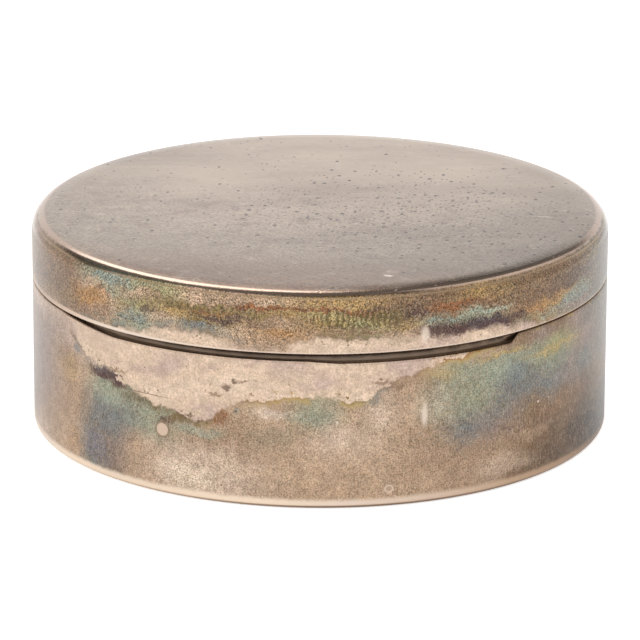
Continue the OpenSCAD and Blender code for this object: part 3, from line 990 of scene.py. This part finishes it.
def paint_lid_edge_highlights(finish, wall, mottle):
    """Lightens the lid's rim bevel with a painted highlight, brightest at the front, and lays a
    rose band where its rounding starts, rubbed wear with a painted highlight over it.
    """
    low = LID_RIM_Z / MM
    top = TOP_Z / MM
    angle, _ = finish.angle(finish.place)
    # Painted highlight along the rim's bevel, where it catches the light.
    rim = finish.ease(finish.z, low + 0.22, low + 0.08)
    edge = finish.around(angle, [
        (-180, SAND), (-62, TAN), (-46, PEACH), (-36, CREAM), (46, CREAM), (60, SAND), (180, SAND),
    ])
    wall = finish.tint(rim, wall, edge)
    # Rose band where the rounding starts: rubbed wear with a painted highlight over it.
    height = finish.sum("MULTIPLY_ADD", mottle, 0.3, finish.z)
    rub = finish.ease(height, top - 0.27, top - 0.11, 0.0, 0.85)
    return finish.tint(rub, wall, ROSE)


def lid_finish():
    """The tarnished film, the clean plate below the tide line, the top and the inside."""
    finish = Finish("lid_silver_tarnished")
    place = finish.place
    drum = DRUM_R / MM
    top_z = TOP_Z / MM
    film = paint_wall(finish, LID_BANDS, LID_STAINS)
    film, mottle, speck, stroke = film_grain(finish, film, 1.2)
    dark = finish.times(dried_ripples(finish), 0.62)
    film = finish.tint(dark, film, tone(92, 80, 50))
    thin = finish.ease(finish.z, top_z - 1.53, top_z - 0.83, 1.0, 1.22)
    film = finish.shade(film, thin)
    film, clean = lay_tide(finish, film, LID_TIDE, LID_TIDE_TONES, LID_FRINGE_TONES, -1, 0.9)
    wall = finish.tint(clean, film, clean_plate(finish))
    # Painted highlight: a short upright streak of glare on the lid's wall, in line with the one on
    # the body.
    wall = finish.patch(place, wall, (30, 14.8, 0.55, 1.0, CREAM, 0.75, 0.3))
    # Painted highlights on the rim's bevel and where the rounding starts.
    wall = paint_lid_edge_highlights(finish, wall, mottle)

    top, large, small, fine = lid_top(finish, mottle)
    on_top = finish.ease(finish.z, top_z - 0.13, top_z - 0.07)
    wall = finish.tint(on_top, wall, top)
    inside = finish.ease(finish.radius, drum - 0.25, drum - 0.4)
    inside = finish.times(inside, finish.ease(finish.z, top_z - 0.43, top_z - 0.53))
    wall = finish.tint(inside, wall, satin_inside(finish, mottle))

    bare = finish.sum("MAXIMUM", clean, on_top)
    rough = finish.blend(bare, finish.ease(speck, 0.3, 0.7, 0.36, 0.26), 0.21)
    rough = finish.blend(finish.ease(finish.z, top_z - 1.33, top_z - 0.93), rough, 0.13)
    rough = finish.blend(finish.ease(finish.radius, drum - 1.6, drum - 3.0), rough, 0.19)
    pitted = finish.sum("MAXIMUM", large, small)
    height = finish.sum("SUBTRACT", finish.sum("ADD", fine, speck), pitted)
    return finish.finish(wall, rough, height)


lid.data.materials.append(lid_finish())

# ------------------------------------------------------------
# Hinge seats. A filed strip soldered to each wall at the back carries the knuckles.
# Tarnish stays in the corners that a cloth can't reach.
# ------------------------------------------------------------


def hinge_finish(name, edge_tone, corner_tone):
    """Filed metal with fine lines along the hinge, darker in its corners."""
    finish = Finish(name)
    place = finish.place
    mottle = finish.grain(place, 1.4, 4.0, 0.6)
    filed = finish.grain(finish.stretch(place, (1.6, 0.10, 0.10)), 1.0, 3.0, 0.6)
    colour = finish.tint(finish.ease(mottle, 0.32, 0.66), corner_tone, edge_tone)
    speck = finish.grain(place, 5.0, 2.0, 0.65)
    colour = finish.shade(colour, finish.ease(speck, 0.32, 0.64, 0.72, 1.10))
    colour = finish.tint(finish.ease(filed, 0.55, 0.72, 0.0, 0.4), colour, SAND)
    geometry = finish.add("ShaderNodeNewGeometry")
    corner = finish.ease(geometry.outputs["Pointiness"], 0.5, 0.42, 0.0, 0.7)
    colour = finish.tint(corner, colour, UMBER)
    rough = finish.ease(mottle, 0.3, 0.7, 0.26, 0.40)
    return finish.finish(colour, rough, finish.sum("ADD", filed, speck))


def dress(node_names, metal):
    """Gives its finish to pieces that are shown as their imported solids."""
    for node_name in node_names:
        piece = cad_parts[node_name]
        piece.data.materials.clear()
        piece.data.materials.append(metal)


seat_metal = hinge_finish("hinge_silver_filed", PEACH, TAN)
dress(("body_hinge_seat", "lid_hinge_seat"), seat_metal)

# ------------------------------------------------------------
# Knuckles and pin. Five lengths of drawn tube, three on the body and two on the lid, and a
# wire through them with both ends peened over.
# ------------------------------------------------------------
knuckle_metal = hinge_finish("hinge_silver_rubbed", PEACH, TAN)
dress(("body_knuckle_left", "body_knuckle_centre", "body_knuckle_right"), knuckle_metal)
dress(("lid_knuckle_left", "lid_knuckle_right"), knuckle_metal)
dress(("hinge_pin",), hinge_finish("pin_wire_drawn", tone(190, 186, 180), tone(150, 144, 138)))

# ------------------------------------------------------------
# The white table that the box stands on, lit from within, and the soft light of the room:
# bright behind on the left, dark overhead and behind on the right.
# ------------------------------------------------------------
TABLE_HALF = 1.2
table_mesh = bpy.data.meshes.new("white_table")
table_mesh.from_pydata(
    [(-TABLE_HALF, -TABLE_HALF, 0), (TABLE_HALF, -TABLE_HALF, 0),
     (TABLE_HALF, TABLE_HALF, 0), (-TABLE_HALF, TABLE_HALF, 0)],
    [],
    [(0, 1, 2, 3)],
)
table = bpy.data.objects.new("white_table", table_mesh)
bpy.context.collection.objects.link(table)
white = Finish("white_table")
white.metal.inputs["Base Color"].default_value = (0.93, 0.93, 0.93, 1)
white.metal.inputs["Roughness"].default_value = 0.9
white.metal.inputs["Emission Color"].default_value = (1, 1, 1, 1)
white.metal.inputs["Emission Strength"].default_value = 0.50
table.data.materials.append(white.material)

CAMERA_AZIMUTH = math.radians(9.6)


def grey(value):
    """A light with no colour of its own."""
    return (value, value, value, 1)


world = bpy.data.worlds.new("soft_room")
bpy.context.scene.world = world
world.use_nodes = True
room = Nodes(world.node_tree)
way = room.vector("NORMALIZE", room.add("ShaderNodeTexCoord").outputs["Generated"])
behind = (-math.sin(CAMERA_AZIMUTH), math.cos(CAMERA_AZIMUTH), 0)
to_right = (math.cos(CAMERA_AZIMUTH), math.sin(CAMERA_AZIMUTH), 0)
turn = room.sum("ARCTAN2", room.vector("DOT_PRODUCT", way, to_right),
                room.vector("DOT_PRODUCT", way, behind))
turn = room.times(turn, 180 / math.pi)
rise = room.times(room.sum("ARCSINE", room.parts(way)[2]), 180 / math.pi)


def hang(sky, left, right, low, high, light, soft=2.5):
    """Hangs a light or dark cloth in the room: degrees right of straight behind the box, from
    left to right, and degrees up."""
    across = room.ease(turn, left - soft, left + soft)
    across = room.times(across, room.ease(turn, right + soft, right - soft))
    up = room.ease(rise, low - soft, low + soft)
    up = room.times(up, room.ease(rise, high + soft, high - soft))
    return room.tint(room.times(across, up), sky, grey(light))


# The dark ceiling starts a little lower behind the box than in front of it.
cap = room.ease(room.sum("ABSOLUTE", turn), 80, 100, 66.0, 74.0)
overhead = room.ease(room.sum("SUBTRACT", rise, cap), 0.0, 5.0)
sky = room.tint(overhead, grey(1.20), grey(0.20))
sky = hang(sky, 60, 130, -10, 60, 0.95, 8)
sky = hang(sky, 1, 32, 24, 100, 0.18)
sky = hang(sky, -70, -31, 26, 100, 0.20)
sky = hang(sky, -31, 1, 61, 100, 0.18)
sky = hang(sky, 32, 43, 42, 50, 1.5)
sky = hang(sky, -8, 1, 26, 34, 1.8)
sky = hang(sky, -31, 1, 33, 57, 3.5)
background = room.add("ShaderNodeBackground")
room.feed(background.inputs[0], sky)
room.feed(room.add("ShaderNodeOutputWorld").inputs[0], background.outputs[0])

# ------------------------------------------------------------
# The camera. It looks down a little on the box's front, from just right of the middle of
# the nail notch, through a long lens from far off.
# ------------------------------------------------------------
CAMERA_ELEVATION = math.radians(17.69)
CAMERA_DISTANCE = 17.07 * DRUM_R
CAMERA_ROLL = math.radians(0.22)
box_centre = Vector((0, 0, TOP_Z / 2))
back = Vector((
    math.sin(CAMERA_AZIMUTH) * math.cos(CAMERA_ELEVATION),
    -math.cos(CAMERA_AZIMUTH) * math.cos(CAMERA_ELEVATION),
    math.sin(CAMERA_ELEVATION),
))
camera = bpy.data.cameras.new("camera")
camera.sensor_width = 36.0
camera.lens = 274.9
camera.shift_x = 0.0003
camera.shift_y = -0.015
camera.clip_start = 0.01
camera.clip_end = 10.0
viewer = bpy.data.objects.new("camera", camera)
viewer.location = box_centre + back * CAMERA_DISTANCE
viewer.rotation_mode = "QUATERNION"
viewer.rotation_quaternion = Quaternion(back, CAMERA_ROLL) @ (-back).to_track_quat("-Z", "Y")
bpy.context.collection.objects.link(viewer)
bpy.context.scene.camera = viewer
bpy.context.scene.view_settings.view_transform = "Standard"
